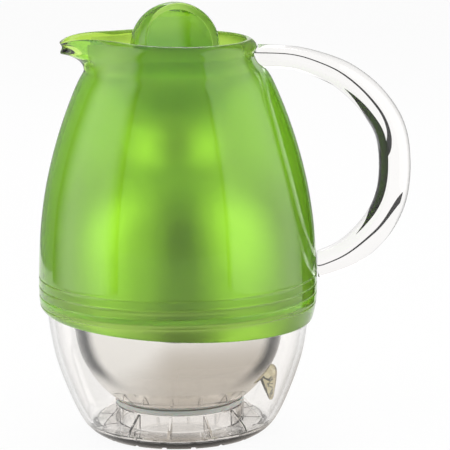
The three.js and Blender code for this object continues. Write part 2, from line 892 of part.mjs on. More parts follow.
function buildFlangeGasket() {
  const bottom = seatHeight + clearance;
  const top = bottom + flangeGasketThickness;
  return revolve(ringOutline(throatRadius + clearance, flangeRadius - clearance, bottom, top), ringSegments);
}

addPiece(stopper, "stopper_knob", toGeometry(buildKnob()), clearGreen);
addPiece(stopper, "stopper_flange", buildFlange(), clearGreen);
addPiece(stopper, "stopper_plug", toGeometry(buildPlug()), clearGreen);
addPiece(stopper, "stopper_core", buildCore(), paleFoam);
addPiece(stopper, "stopper_seal_ring", buildSealRing(), softSilicone);
addPiece(stopper, "stopper_gasket", buildFlangeGasket(), softSilicone);

export default carafe;
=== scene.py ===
"""A one-litre vacuum jug: a frosted green shell over a clear bowl, with a silvered flask inside."""

import math

import bmesh
import bpy
from mathutils import Matrix, Vector


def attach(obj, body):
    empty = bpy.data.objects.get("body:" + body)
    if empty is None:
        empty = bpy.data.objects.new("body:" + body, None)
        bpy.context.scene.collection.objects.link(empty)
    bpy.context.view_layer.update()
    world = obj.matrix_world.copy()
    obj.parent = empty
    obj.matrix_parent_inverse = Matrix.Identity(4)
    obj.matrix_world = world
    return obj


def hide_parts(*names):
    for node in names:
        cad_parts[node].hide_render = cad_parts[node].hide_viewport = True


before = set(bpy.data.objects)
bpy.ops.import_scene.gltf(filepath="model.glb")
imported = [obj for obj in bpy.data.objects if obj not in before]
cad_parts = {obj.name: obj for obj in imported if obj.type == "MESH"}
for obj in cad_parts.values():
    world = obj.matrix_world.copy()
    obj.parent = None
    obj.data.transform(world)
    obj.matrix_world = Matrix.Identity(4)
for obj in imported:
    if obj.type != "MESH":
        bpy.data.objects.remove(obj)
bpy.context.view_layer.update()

MM = 0.001
GAP = 0.3  # between pieces that touch, in millimetres like every size below
CAGE = 40  # columns of the shell before it is smoothed
FINE = 144
MEDIUM = 96
SMALL = 48
STAGE = 8.0  # side of the floor in metres


# ---- At the bench: selecting, turning, drawing out, cutting

def let_go():
    bpy.ops.object.select_all(action="DESELECT")


def pick(piece):
    let_go()
    piece.select_set(True)
    bpy.context.view_layer.objects.active = piece


def open_up(piece):
    pick(piece)
    bpy.ops.object.mode_set(mode="EDIT")
    bpy.ops.mesh.select_mode(type="VERT")
    bpy.ops.mesh.select_all(action="DESELECT")


def close_up():
    bpy.ops.object.mode_set(mode="OBJECT")


def take(piece, wanted):
    """Selects the open piece's vertices whose place in millimetres is wanted."""
    mesh = bmesh.from_edit_mesh(piece.data)
    for vertex in mesh.verts:
        vertex.select_set(bool(wanted(vertex.co / MM)))
    mesh.select_flush(True)
    mesh.select_flush(False)
    bmesh.update_edit_mesh(piece.data)


def take_faces(piece, wanted):
    """Selects the open piece's faces by their middle in millimetres and their direction."""
    bpy.ops.mesh.select_mode(type="FACE")
    mesh = bmesh.from_edit_mesh(piece.data)
    for face in mesh.faces:
        face.select_set(bool(wanted(face.calc_center_median() / MM, face.normal)))
    bmesh.update_edit_mesh(piece.data)


def new_ring(name, radius, height, columns):
    """A bare ring round the axis, open for editing with all of it selected."""
    let_go()
    bpy.ops.mesh.primitive_circle_add(vertices=columns, radius=radius * MM, location=(0, 0, 0))
    piece = bpy.context.active_object
    piece.name = name
    bpy.ops.object.mode_set(mode="EDIT")
    bpy.ops.mesh.select_mode(type="VERT")
    bpy.ops.mesh.select_all(action="SELECT")
    bpy.ops.transform.translate(value=(0, 0, height * MM))
    return piece


def seal_up(piece, merge=0.004):
    """Welds what meets, turns every face outward and leaves edit mode."""
    bpy.ops.mesh.select_all(action="SELECT")
    bpy.ops.mesh.remove_doubles(threshold=merge * MM)
    bpy.ops.mesh.normals_make_consistent(inside=False)
    close_up()
    return piece


def turned(name, outline, columns=MEDIUM):
    """Draws a ring out along an outline of (radius, height) points.

    An outline that starts and ends on the axis is capped there. Any other closes on itself."""
    rings = [point for point in outline if point[0] > 0]
    capped = len(rings) < len(outline)
    if not capped:
        rings.append(rings[0])
    radius, height = rings[0]
    piece = new_ring(name, radius, height, columns)
    for next_radius, next_height in rings[1:]:
        bpy.ops.mesh.extrude_region_move(
            TRANSFORM_OT_translate={"value": (0, 0, (next_height - height) * MM)}
        )
        grow = next_radius / radius
        centre = (0, 0, next_height * MM)
        bpy.ops.transform.resize(value=(grow, grow, 1), center_override=centre)
        radius, height = next_radius, next_height
    if capped:
        bpy.ops.mesh.select_all(action="SELECT")
        bpy.ops.mesh.fill_holes(sides=0)
    return seal_up(piece)


def finish_with(piece, kind, **settings):
    """Adds a modifier and applies it."""
    pick(piece)
    modifier = piece.modifiers.new(kind.lower(), kind)
    for key, value in settings.items():
        setattr(modifier, key, value)
    bpy.ops.object.modifier_apply(modifier=modifier.name)


def cut_by(piece, tool, operation="DIFFERENCE"):
    """Cuts a piece by a tool, or joins the tool to it, and throws the tool away."""
    finish_with(piece, "BOOLEAN", object=tool, operation=operation, solver="EXACT")
    bpy.data.objects.remove(tool)


def rounded(piece, width, segments=2, angle=40):
    finish_with(
        piece, "BEVEL", width=width * MM, segments=segments, limit_method="ANGLE",
        angle_limit=math.radians(angle), miter_outer="MITER_ARC", use_clamp_overlap=True,
    )


def smoothed(piece, levels):
    finish_with(piece, "SUBSURF", levels=levels, render_levels=levels)


def shade(piece, angle=32):
    pick(piece)
    bpy.ops.object.shade_smooth_by_angle(angle=math.radians(angle))


def flowing(points, between=4):
    """A curve through the points, with this many steps from each to the next."""
    knots = [Vector(p) for p in points]
    knots = [2 * knots[0] - knots[1]] + knots + [2 * knots[-1] - knots[-2]]
    path = []
    for a, b, c, d in zip(knots, knots[1:], knots[2:], knots[3:]):
        for step in range(between):
            t = step / between
            path.append(
                0.5 * (2 * b + (c - a) * t + (2 * a - 5 * b + 4 * c - d) * t**2
                       + (3 * b - a - 3 * c + d) * t**3)
            )
    return [tuple(p) for p in path] + [tuple(knots[-2])]


def inward(path, distance):
    """The path moved to its left, which is inward where it climbs."""
    moved = []
    for i, (radius, height) in enumerate(path):
        before, after = path[max(i - 1, 0)], path[min(i + 1, len(path) - 1)]
        along = Vector((after[0] - before[0], after[1] - before[1])).normalized()
        side = radius - along.y * distance if radius else 0
        moved.append((side, height + along.x * distance))
    return moved


def radius_at(path, height):
    for (r0, z0), (r1, z1) in zip(path, path[1:]):
        if z0 <= height <= z1:
            return r0 + (r1 - r0) * (height - z0) / (z1 - z0)
    return path[-1][0]


def band(inner, outer, bottom, top, edge=0.4):
    """The outline of a flat-sided ring with small rounded edges."""
    return [
        (inner + edge, bottom), (outer - edge, bottom), (outer, bottom + edge),
        (outer, top - edge), (outer - edge, top), (inner + edge, top),
        (inner, top - edge), (inner, bottom + edge),
    ]


# ---- Shader groups

def new_group(name, inputs, outputs):
    group = bpy.data.node_groups.new(name, "ShaderNodeTree")
    for kind, label, default in inputs:
        socket = group.interface.new_socket(label, in_out="INPUT", socket_type=kind)
        if default is not None:
            socket.default_value = default
    for kind, label in outputs:
        group.interface.new_socket(label, in_out="OUTPUT", socket_type=kind)
    entry = group.nodes.new("NodeGroupInput")
    leave = group.nodes.new("NodeGroupOutput")
    entry.location, leave.location = (-600, 0), (500, 0)
    return group, entry, leave


def build_handling_marks():
    """Faint wipe marks and haze: a roughness that wanders between two values."""
    group, entry, leave = new_group(
        "handling_marks",
        [("NodeSocketVector", "Place", None), ("NodeSocketFloat", "Size", 30.0),
         ("NodeSocketFloat", "Smooth", 0.02), ("NodeSocketFloat", "Rough", 0.06)],
        [("NodeSocketFloat", "Roughness")],
    )
    wipe = group.nodes.new("ShaderNodeTexNoise")
    wipe.inputs["Detail"].default_value = 5.0
    wipe.inputs["Roughness"].default_value = 0.6
    wipe.inputs["Distortion"].default_value = 0.8
    spread = group.nodes.new("ShaderNodeMapRange")
    spread.interpolation_type = "SMOOTHSTEP"
    spread.inputs["From Min"].default_value = 0.35
    spread.inputs["From Max"].default_value = 0.75
    link = group.links.new
    link(entry.outputs["Place"], wipe.inputs["Vector"])
    link(entry.outputs["Size"], wipe.inputs["Scale"])
    link(wipe.outputs["Fac"], spread.inputs["Value"])
    link(entry.outputs["Smooth"], spread.inputs["To Min"])
    link(entry.outputs["Rough"], spread.inputs["To Max"])
    link(spread.outputs["Result"], leave.inputs["Roughness"])
    return group


def build_mould_flow():
    """Slow drifts of tint and height that moulded plastic and blown glass show."""
    group, entry, leave = new_group(
        "mould_flow",
        [("NodeSocketVector", "Place", None), ("NodeSocketFloat", "Size", 12.0),
         ("NodeSocketColor", "Tint", (1, 1, 1, 1)), ("NodeSocketColor", "Deep tint", (1, 1, 1, 1))],
        [("NodeSocketColor", "Color"), ("NodeSocketFloat", "Height")],
    )
    drift = group.nodes.new("ShaderNodeTexNoise")
    drift.inputs["Detail"].default_value = 2.0
    drift.inputs["Roughness"].default_value = 0.4
    blend = group.nodes.new("ShaderNodeMix")
    blend.data_type = "RGBA"
    link = group.links.new
    link(entry.outputs["Place"], drift.inputs["Vector"])
    link(entry.outputs["Size"], drift.inputs["Scale"])
    link(drift.outputs["Fac"], blend.inputs["Factor"])
    link(entry.outputs["Tint"], blend.inputs[6])
    link(entry.outputs["Deep tint"], blend.inputs[7])
    link(blend.outputs[2], leave.inputs["Color"])
    link(drift.outputs["Fac"], leave.inputs["Height"])
    return group


def build_grains():
    """Fine grain for foam, fibre and satin plastic."""
    group, entry, leave = new_group(
        "grains",
        [("NodeSocketVector", "Place", None), ("NodeSocketFloat", "Size", 900.0)],
        [("NodeSocketFloat", "Height")],
    )
    cells = group.nodes.new("ShaderNodeTexVoronoi")
    speck = group.nodes.new("ShaderNodeTexNoise")
    speck.inputs["Detail"].default_value = 6.0
    total = group.nodes.new("ShaderNodeMath")
    total.operation = "ADD"
    link = group.links.new
    for texture in (cells, speck):
        link(entry.outputs["Place"], texture.inputs["Vector"])
        link(entry.outputs["Size"], texture.inputs["Scale"])
    link(cells.outputs["Distance"], total.inputs[0])
    link(speck.outputs["Fac"], total.inputs[1])
    link(total.outputs[0], leave.inputs["Height"])
    return group


HANDLING = build_handling_marks()
FLOW = build_mould_flow()
GRAINS = build_grains()


# ---- Finishes

def deepen(finish, deep, start, end, above=None):
    """Deepens the tint towards grazing views, where the eye's path through the wall is long. With grey and black it
    paints shade and dark reflections on the edges instead.

    With above given, only where the surface stands higher than about that, in millimetres."""
    nodes, link = finish.node_tree.nodes, finish.node_tree.links.new
    base = nodes["Principled BSDF"].inputs["Base Color"]
    tint = base.links[0].from_socket
    facing = nodes.new("ShaderNodeLayerWeight")
    facing.inputs["Blend"].default_value = 0.5
    amount = nodes.new("ShaderNodeMapRange")
    amount.interpolation_type = "SMOOTHSTEP"
    amount.inputs["From Min"].default_value = start
    amount.inputs["From Max"].default_value = end
    blend = nodes.new("ShaderNodeMix")
    blend.data_type = "RGBA"
    blend.inputs[7].default_value = (*deep, 1)
    link(facing.outputs["Facing"], amount.inputs["Value"])
    link(amount.outputs["Result"], blend.inputs["Factor"])
    if above is not None:
        place = nodes.new("ShaderNodeTexCoord")
        split = nodes.new("ShaderNodeSeparateXYZ")
        rise = nodes.new("ShaderNodeMapRange")
        rise.interpolation_type = "SMOOTHSTEP"
        rise.inputs["From Min"].default_value = (above - 7) * MM
        rise.inputs["From Max"].default_value = (above + 7) * MM
        link(place.outputs["Object"], split.inputs["Vector"])
        link(split.outputs["Z"], rise.inputs["Value"])
        link(rise.outputs["Result"], amount.inputs["To Max"])
    link(tint, blend.inputs[6])
    link(blend.outputs[2], base)


def new_finish(name, tint, deep_tint, smooth, rough, flow=12.0, marks=40.0, waver=0.02, grain=0, **sockets):
    """A Principled surface with drifting tint, wipe marks and a slight waver or grain."""
    finish = bpy.data.materials.new(name)
    finish.use_nodes = True
    nodes, link = finish.node_tree.nodes, finish.node_tree.links.new
    surface = nodes["Principled BSDF"]
    place = nodes.new("ShaderNodeTexCoord")
    tone = nodes.new("ShaderNodeGroup")
    tone.node_tree = FLOW
    tone.inputs["Size"].default_value = flow
    tone.inputs["Tint"].default_value = (*tint, 1)
    tone.inputs["Deep tint"].default_value = (*deep_tint, 1)
    wipe = nodes.new("ShaderNodeGroup")
    wipe.node_tree = HANDLING
    wipe.inputs["Size"].default_value = marks
    wipe.inputs["Smooth"].default_value = smooth
    wipe.inputs["Rough"].default_value = rough
    relief = nodes.new("ShaderNodeBump")
    relief.inputs["Strength"].default_value = 1.0
    relief.inputs["Distance"].default_value = waver * MM
    height = tone
    if grain:
        height = nodes.new("ShaderNodeGroup")
        height.node_tree = GRAINS
        height.inputs["Size"].default_value = grain
        link(place.outputs["Object"], height.inputs["Place"])
    link(place.outputs["Object"], tone.inputs["Place"])
    link(place.outputs["Object"], wipe.inputs["Place"])
    link(tone.outputs["Color"], surface.inputs["Base Color"])
    link(wipe.outputs["Roughness"], surface.inputs["Roughness"])
    link(height.outputs["Height"], relief.inputs["Height"])
    link(relief.outputs["Normal"], surface.inputs["Normal"])
    for socket, value in sockets.items():
        surface.inputs[socket.replace("_", " ")].default_value = value
    return finish


GREEN, DEEP_GREEN = (0.66, 0.96, 0.21), (0.63, 0.95, 0.18)
polished_green = new_finish(
    "polished_green", GREEN, DEEP_GREEN, 0.04, 0.09, Transmission_Weight=1.0, IOR=1.49,
    Specular_IOR_Level=0.5)
etched_green = new_finish(
    "etched_green", GREEN, DEEP_GREEN, 0.61, 0.68, Transmission_Weight=0.95, IOR=1.49)
frosted_green = new_finish(
    "frosted_green", (0.58, 0.87, 0.23), (0.54, 0.84, 0.19), 0.4, 0.5,
    Transmission_Weight=0.7, IOR=1.49)
for finish in (polished_green, etched_green):
    deepen(finish, (0.52, 0.96, 0.15), 0.35, 0.9)
    deepen(finish, (0.50, 0.76, 0.10), -1.0, -0.5, above=214)  # a darker, deeper tint on the lip, above about 214 mm, in every view
clear_green = new_finish(
    "clear_green", (0.60, 0.84, 0.18), (0.56, 0.82, 0.15), 0.01, 0.04,
    Transmission_Weight=1.0, IOR=1.49)
pale_green = new_finish(
    "pale_green", (0.82, 0.95, 0.50), (0.79, 0.94, 0.45), 0.45, 0.55,
    Transmission_Weight=0.6, IOR=1.49)
clear_acrylic = new_finish(
    "clear_acrylic", (0.985, 0.975, 0.965), (0.98, 0.965, 0.95), 0.0, 0.03, waver=0.01,
    Transmission_Weight=1.0, IOR=1.49)
# painted shade: the clear acrylic turns grey towards grazing views, drawing dark edges on the handle, bowl and
# support ring
deepen(clear_acrylic, (0.34, 0.34, 0.33), 0.6, 0.98)
silvering = new_finish(
    "silvering", (0.87, 0.86, 0.83), (0.83, 0.81, 0.77), 0.03, 0.08, waver=0.03,
    Metallic=1.0)
# painted reflection: near-black bands down both sides of the flask at grazing views, above about 37 mm, in place of
# dark surroundings mirrored there
deepen(silvering, (0.02, 0.02, 0.02), 0.44, 0.63, above=37)
tip_glass = new_finish(
    "tip_glass", (0.80, 0.74, 0.52), (0.36, 0.29, 0.13), 0.0, 0.02, waver=0.5, flow=220.0,
    Transmission_Weight=1.0, IOR=1.52)
silicone = new_finish(
    "silicone", (0.83, 0.85, 0.81), (0.77, 0.80, 0.75), 0.4, 0.6, waver=0.02, grain=700.0,
    Subsurface_Weight=0.25, Subsurface_Scale=0.003)
rigid_foam = new_finish(
    "rigid_foam", (0.92, 0.90, 0.84), (0.86, 0.83, 0.75), 0.85, 0.95, waver=0.2, grain=500.0)
pressed_fibre = new_finish(
    "pressed_fibre", (0.78, 0.74, 0.66), (0.66, 0.61, 0.52), 0.85, 0.95, waver=0.15, grain=1200.0)


def dress(piece, body, node, finish, angle=32):
    """Gives a finished piece its surface and its body, and hides the solid that it stands for."""
    shade(piece, angle)
    if not piece.data.materials:
        piece.data.materials.append(finish)
    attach(piece, body)
    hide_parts(node)
    return piece


# ---- Shell: flank with ribs, hem, neck, lip and spout

HEM = 67.2
flank = [
    (75.3, 67.2), (76.3, 68.8), (77.4, 71.7), (78.2, 76.2), (78.4, 84.5), (78.2, 95.0),
    (77.5, 110.0), (75.9, 125.0), (73.5, 140.0), (70.0, 155.0), (65.6, 170.0), (60.2, 185.0),
    (53.9, 200.0),
]
# Neck and lip, up outside and down inside: at the handle (radius, height), then along the spout
neck = [
    (51.1, 203.9, 51.0, 203.6), (48.7, 206.2, 50.6, 206.2), (46.3, 208.9, 51.7, 209.4),
    (44.6, 212.2, 55.0, 211.9), (44.0, 214.2, 60.8, 214.2), (44.7, 215.5, 64.4, 213.6),
    (45.6, 216.9, 64.3, 215.0), (45.3, 218.7, 63.1, 216.4), (43.9, 220.6, 63.5, 218.0),
    (42.2, 221.7, 65.0, 219.4), (40.6, 221.9, 64.3, 220.4), (39.7, 221.2, 62.6, 220.3),
    (39.5, 219.0, 61.2, 218.6), (40.6, 215.0, 57.8, 216.4), (41.3, 212.5, 51.5, 213.6),
    (43.0, 209.0, 47.6, 209.8), (45.8, 205.6, 47.0, 205.6), (48.4, 202.6, 48.4, 202.6),
]
# How much further out these points are away from the handle's root
neck_fill = [0.3, 1.9, 3.1, 3.4, 3.0, 1.8, 0.6, 0, 0, 0, 0, 0.3, 1.5, 2.8, 3.3, 2.0, 0, 0]
LIP_FOOT, LIP_TOP = 214.2, 221.9
RIBS = [90.5, 85.3, 80.1, 74.9]

flank_curve = flowing(flank)
flank_inside = inward(flank_curve, 2.8)


def ribbed_flank():
    rows = [p for p in flank if all(abs(p[1] - rib) > 2.2 for rib in RIBS)]
    for rib in RIBS:
        rows += [(radius_at(flank_curve, rib + d) - depth, rib + d)
                 for d, depth in ((-0.9, 0), (-0.4, 0.02), (0, 0.45), (0.4, 0.02), (0.9, 0))]
    return sorted(rows, key=lambda row: row[1])


def shell_inside():
    rows = [(radius_at(flank_inside, z), z) for z in (198, 184, 169, 154, 139, 124, 109, 95, 84)]
    return rows + [(75.6, 79.6), (75.4, 76.3), (73.8, 73.6), (73.66, 70.5), (73.66, 67.2)]


def neck_move(row, fill, angle):
    """How far a neck point moves to fill it out and to make the spout and the rising rim."""
    radius, height, spout_radius, spout_height = row
    away = abs(math.pi - angle % (2 * math.pi))
    blend = math.exp(-((away / math.radians(21.6)) ** 2.6))
    fill *= 1 - math.exp(-(((math.pi - away) / math.radians(26)) ** 4))
    lip = max(0, (height - LIP_FOOT) / (LIP_TOP - LIP_FOOT))
    rise = 2.5 * lip * ((1 - math.cos(angle)) / 2) ** 2
    out = fill + (spout_radius - radius - fill) * blend
    up = rise + (spout_height - height - rise) * blend**8
    return Vector((out * math.cos(angle), out * math.sin(angle), up))


def pull_spout(piece):
    """Moves the neck's points one by one from the round form to the spout's."""
    for row, fill in zip(neck, neck_fill):
        mesh = bmesh.from_edit_mesh(piece.data)
        ring = [
            v.index for v in mesh.verts
            if abs(v.co.z / MM - row[1]) < 0.01 and abs(v.co.xy.length / MM - row[0]) < 0.01
        ]
        for index in ring:
            mesh = bmesh.from_edit_mesh(piece.data)
            mesh.verts.ensure_lookup_table()
            place = mesh.verts[index].co.copy()
            move = neck_move(row, fill, math.atan2(place.y, place.x))
            if move.length < 0.01:
                continue
            bpy.ops.mesh.select_all(action="DESELECT")
            mesh.verts[index].select_set(True)
            bpy.ops.transform.translate(value=move * MM)


def slant_hem(piece):
    """Tips the rows at the hem towards the handle, less and less going up."""
    for height, share in ((67.2, 1.0), (68.8, 0.75), (70.5, 0.48), (71.7, 0.3)):
        take(piece, lambda at: abs(at.z - height) < 0.01)
        drop = share * math.tan(math.radians(2.8))
        mesh = bmesh.from_edit_mesh(piece.data)
        turn = Matrix.Shear("XY", 4, (0, 0))
        turn[2][0] = -drop
        bmesh.ops.transform(mesh, matrix=turn, verts=[v for v in mesh.verts if v.select])
        bmesh.update_edit_mesh(piece.data)


def is_etched(at, way):
    """The shell is etched all over its inside, but for the spout's channel and the lip."""
    inside = way.xy.dot(at.xy.normalized()) < -0.1
    return inside and (at.z < 204 or (at.z < 220.5 and at.x > -46))


def make_shell():
    rows = ribbed_flank() + [(r, z) for r, z, _, _ in neck] + shell_inside()
    piece = turned("shell", rows, CAGE)
    open_up(piece)
    pull_spout(piece)
    slant_hem(piece)
    close_up()
    smoothed(piece, 2)
    piece.data.materials.append(polished_green)
    piece.data.materials.append(etched_green)
    open_up(piece)
    take_faces(piece, is_etched)
    piece.active_material_index = 1
    bpy.ops.object.material_slot_assign()
    close_up()
    return piece


dress(make_shell(), "jug", "outer_shell", polished_green, angle=60)


# ---- Clear bowl with its spigot and foot notches

bowl = flowing([
    (46.2, 0.0), (50.8, 3.0), (55.1, 8.0), (59.3, 16.0), (63.1, 25.0), (66.8, 35.0),
    (69.8, 45.0), (71.7, 55.0), (73.1, 65.0), (73.36, 69.9),
], 3)


def make_bowl():
    inside = [p for p in inward(bowl, 3.0) if p[1] > 8.0]
    inside.reverse()
    foot_radius, _ = inside[-1]
    outline = (
        [(0, 0), (45.6, 0)] + bowl
        + [(73.36, 75.7), (73.06, 76), (71.66, 76), (71.36, 76.3), (71.36, 81.6), (70.96, 82),
           (69.8, 82), (69.36, 81.6), (69.5, 78)]
        + inside
        + [(foot_radius - 0.8, 6.8), (foot_radius - 1.8, 5.7), (foot_radius - 3.4, 5.05),
           (foot_radius - 5.0, 5.0), (0, 5.0)]
    )
    piece = turned("bowl", outline, FINE)
    let_go()
    bpy.ops.mesh.primitive_cube_add(size=MM, location=(0, 0, 0))
    notch = bpy.context.active_object
    open_up(notch)
    bpy.ops.mesh.select_all(action="SELECT")
    bpy.ops.transform.resize(value=(6.6, 3.0, 5.4))
    bpy.ops.transform.translate(value=(46.9 * MM, 0, -1.3 * MM))
    close_up()
    rounded(notch, 0.5, segments=2)
    open_up(notch)
    bpy.ops.mesh.select_all(action="SELECT")
    for _ in range(17):
        bpy.ops.mesh.duplicate()
        bpy.ops.transform.rotate(value=math.radians(20), orient_axis="Z", center_override=(0, 0, 0))
    close_up()
    cut_by(piece, notch)
    return piece


dress(make_bowl(), "jug", "base_bowl", clear_acrylic)

seal = turned("hem_gasket", band(71.7, 74.7, 76.35, 79.25, 0.6), MEDIUM)
dress(seal, "jug", "hem_seal", silicone)


# ---- Handle: a bent bar, thickest at the grip, cut to the shell

HANDLE_PATH = [
    (41.2, 212.0), (64.5, 210.8), (81.1, 206.0), (95.1, 199.0), (109.1, 186.2), (119.2, 169.3),
    (121.6, 148.0), (118.6, 128.9), (109.6, 113.0), (94.6, 99.9), (75.6, 92.4),
]


def blended(share, arm, grip, foot):
    def ease(low, high):
        t = min(max((share - low) / (high - low), 0), 1)
        return t * t * (3 - 2 * t)

    to_grip, to_foot = ease(0.1, 0.42), ease(0.78, 1)
    return (arm + (grip - arm) * to_grip) * (1 - to_foot) + foot * to_foot


def square_up(piece, centre):
    """Pushes the ring's diagonals out, so that its section is a little squarer than an ellipse."""
    for turn, push in ((15, 1.020), (30, 1.055), (45, 1.072), (60, 1.055), (75, 1.020)):
        def lies(at):
            way = math.degrees(math.atan2(abs(at.z - centre[2]), abs(at.y)))
            return abs(way - turn) < 2

        take(piece, lies)
        bpy.ops.transform.resize(value=(push,) * 3, center_override=Vector(centre) * MM)


def make_handle():
    path = flowing(HANDLE_PATH, 5)
    lengths = [0.0]
    for a, b in zip(path, path[1:]):
        lengths.append(lengths[-1] + (Vector(b) - Vector(a)).length)
    stations = []
    for i, (x, z) in enumerate(path):
        before, after = path[max(i - 1, 0)], path[min(i + 1, len(path) - 1)]
        way = math.atan2(after[1] - before[1], after[0] - before[0])
        share = lengths[i] / lengths[-1]
        size = (blended(share, 13.0, 17.9, 15.2), blended(share, 19.0, 24.0, 19.0))
        stations.append(((x, 0, z), way, size))
    (centre, way, size) = stations[0]
    let_go()
    bpy.ops.mesh.primitive_circle_add(vertices=24, radius=0.5 * MM)
    piece = bpy.context.active_object
    piece.name = "grip_bar"
    open_up(piece)
    bpy.ops.mesh.select_all(action="SELECT")
    mesh = bmesh.from_edit_mesh(piece.data)
    stand = (Matrix.Translation(Vector(centre) * MM) @ Matrix.Rotation(-way, 4, "Y")
             @ Matrix.Rotation(math.pi / 2, 4, "Y") @ Matrix.Diagonal((size[0], size[1], 1, 1)))
    bmesh.ops.transform(mesh, matrix=stand, verts=mesh.verts)
    bmesh.update_edit_mesh(piece.data)
    square_up(piece, centre)
    bpy.ops.mesh.select_all(action="SELECT")
    for next_centre, next_way, next_size in stations[1:]:
        step = Vector(next_centre) - Vector(centre)
        bpy.ops.mesh.extrude_region_move(TRANSFORM_OT_translate={"value": step * MM})
        mesh = bmesh.from_edit_mesh(piece.data)
        middle = Matrix.Translation(Vector(next_centre) * MM)
        high, wide = next_size[0] / size[0], next_size[1] / size[1]
        turn = middle @ Matrix.Rotation(way - next_way, 4, "Y") @ Matrix.Diagonal((high, wide, high, 1)) @ middle.inverted()
        bmesh.ops.transform(mesh, matrix=turn, verts=[v for v in mesh.verts if v.select])
        bmesh.update_edit_mesh(piece.data)
        centre, way, size = next_centre, next_way, next_size
    bpy.ops.mesh.select_all(action="SELECT")
    bpy.ops.mesh.fill_holes(sides=0)
    seal_up(piece)
    smoothed(piece, 1)
    outside = inward(flowing(flank + [(r, z) for r, z, _, _ in neck[:7]]), -0.35)
    room = turned("room", [(0, 60), (outside[0][0], 60)] + outside + [(outside[-1][0], 232), (0, 232)], FINE)
    cut_by(piece, room)
    rounded(piece, 0.4, segments=2, angle=50)
    return piece


dress(make_handle(), "jug", "handle", clear_acrylic, angle=40)


# ---- Flask: two glass walls, the sealed tip and what carries it

flask = flowing([
    (0.5, 10.7), (12, 11.0), (24, 13.6), (36, 19.8), (47.4, 30.7), (54.8, 43.2), (58.4, 56.3),
    (59.8, 72.0), (60, 92.1), (59.6, 108.0), (57.9, 120.0), (53.9, 131.0), (47.9, 140.0),
    (41.0, 147.1), (34.6, 152.5), (30.0, 157.0), (27.6, 162.0), (27, 168.0), (27, 174.0),
    (27, 181.0),
])
MOUTH = 182.0


def make_wall(name, outer, wall, lip):
    inner = inward(outer, wall)
    inner.reverse()
    return turned(name, [(0, outer[0][1])] + outer + lip + inner + [(0, inner[-1][1])], FINE)


outer_glass = make_wall(
    "flask_body", flask, 1.6, [(27, 181.6), (26.6, MOUTH), (25.8, MOUTH), (25.4, 181.6)])
dress(outer_glass, "jug", "flask_outer", silvering)

lining_path = inward(flask, 4.9)
lining_path = [p for p in lining_path if p[0] > 0.4 and p[1] < 178]
lining = make_wall(
    "flask_lining", lining_path, 1.6,
    [(22.1, 179.0), (24.0, 180.4), (25.0, 181.2), (24.6, 181.8), (24.2, MOUTH), (21.4, MOUTH),
     (20.7, 181.5), (20.5, 180.6)])
dress(lining, "jug", "flask_inner", silvering)


def make_tip():
    length = 19.0
    outline = [(0, -length)] + flowing([
        (1.0, -18.9), (1.7, -17.6), (2.5, -14.9), (3.6, -11.4), (4.7, -7.4), (5.4, -4.4),
        (5.6, -2.6), (5.3, -0.9), (4.4, 0.6), (3.0, 1.4),
    ], 3) + [(0, 1.5)]
    piece = turned("sealed_tip", outline, SMALL)
    open_up(piece)
    bpy.ops.mesh.select_all(action="SELECT")
    mesh = bmesh.from_edit_mesh(piece.data)
    stand = Matrix.Translation(Vector((49.7, 0, 34.5)) * MM) @ Matrix.Rotation(math.radians(-8), 4, "Y")
    bmesh.ops.transform(mesh, matrix=stand, verts=mesh.verts)
    bmesh.update_edit_mesh(piece.data)
    close_up()
    envelope = inward(flask, -0.35)
    cut_by(piece, turned("room", [(0, 10.3)] + [p for p in envelope if p[0] > 0.6] + [(0, 181.0)], FINE))
    return piece


dress(make_tip(), "jug", "flask_seal_tip", tip_glass)


def make_support():
    collar_top = 16.6
    piece = turned("support", [
        (33.7, 5.3), (47.0, 5.3), (47.4, 5.7), (47.4, 6.7), (47.0, 7.1), (36.9, 7.1), (36.3, 7.7),
        (36.3, collar_top - 0.4), (35.9, collar_top), (33.7, collar_top), (33.3, collar_top - 0.4),
        (33.3, 5.7),
    ], MEDIUM)
    let_go()
    bpy.ops.mesh.primitive_cube_add(size=MM, location=(0, 0, 0))
    gusset = bpy.context.active_object
    open_up(gusset)
    bpy.ops.mesh.select_all(action="SELECT")
    bpy.ops.transform.resize(value=(11.7, 1.6, 9.8))
    bpy.ops.transform.translate(value=(40.65 * MM, 0, 11.1 * MM))
    take(gusset, lambda at: at.x > 40 and at.z > 11)
    bpy.ops.transform.translate(value=(-9.4 * MM, 0, 0))
    take(gusset, lambda at: at.x > 40 and at.z < 11)
    bpy.ops.transform.translate(value=(0, 0, 0.3 * MM))
    close_up()
    rounded(gusset, 0.25, segments=1)
    open_up(gusset)
    bpy.ops.mesh.select_all(action="SELECT")
    bpy.ops.transform.rotate(value=math.radians(7), orient_axis="Z", center_override=(0, 0, 0))
    for _ in range(11):
        bpy.ops.mesh.duplicate()
        bpy.ops.transform.rotate(value=math.radians(30), orient_axis="Z", center_override=(0, 0, 0))
    close_up()
    cut_by(piece, gusset, "UNION")
    return piece


dress(make_support(), "jug", "support_ring", clear_acrylic)

under = [p for p in inward(flask, -0.35) if 1 < p[0] < 45]


def height_at(path, radius):
    return radius_at([(z, r) for r, z in path], radius)


seat = turned("seat_cushion", [
    (33.5, 17.0), (36.1, 17.0), (36.3, 17.3), (36.3, height_at(under, 36.3) - 0.1),
    (34.8, height_at(under, 34.8) - 0.1), (33.3, height_at(under, 33.3) - 0.1), (33.3, 17.3),
], MEDIUM)
dress(seat, "jug", "seat_ring", silicone)

for name in ("spacer_pad_1", "spacer_pad_2", "spacer_pad_3"):
    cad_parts[name].data.materials.clear()
    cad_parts[name].data.materials.append(pressed_fibre)


# ---- Pouring insert and its gasket

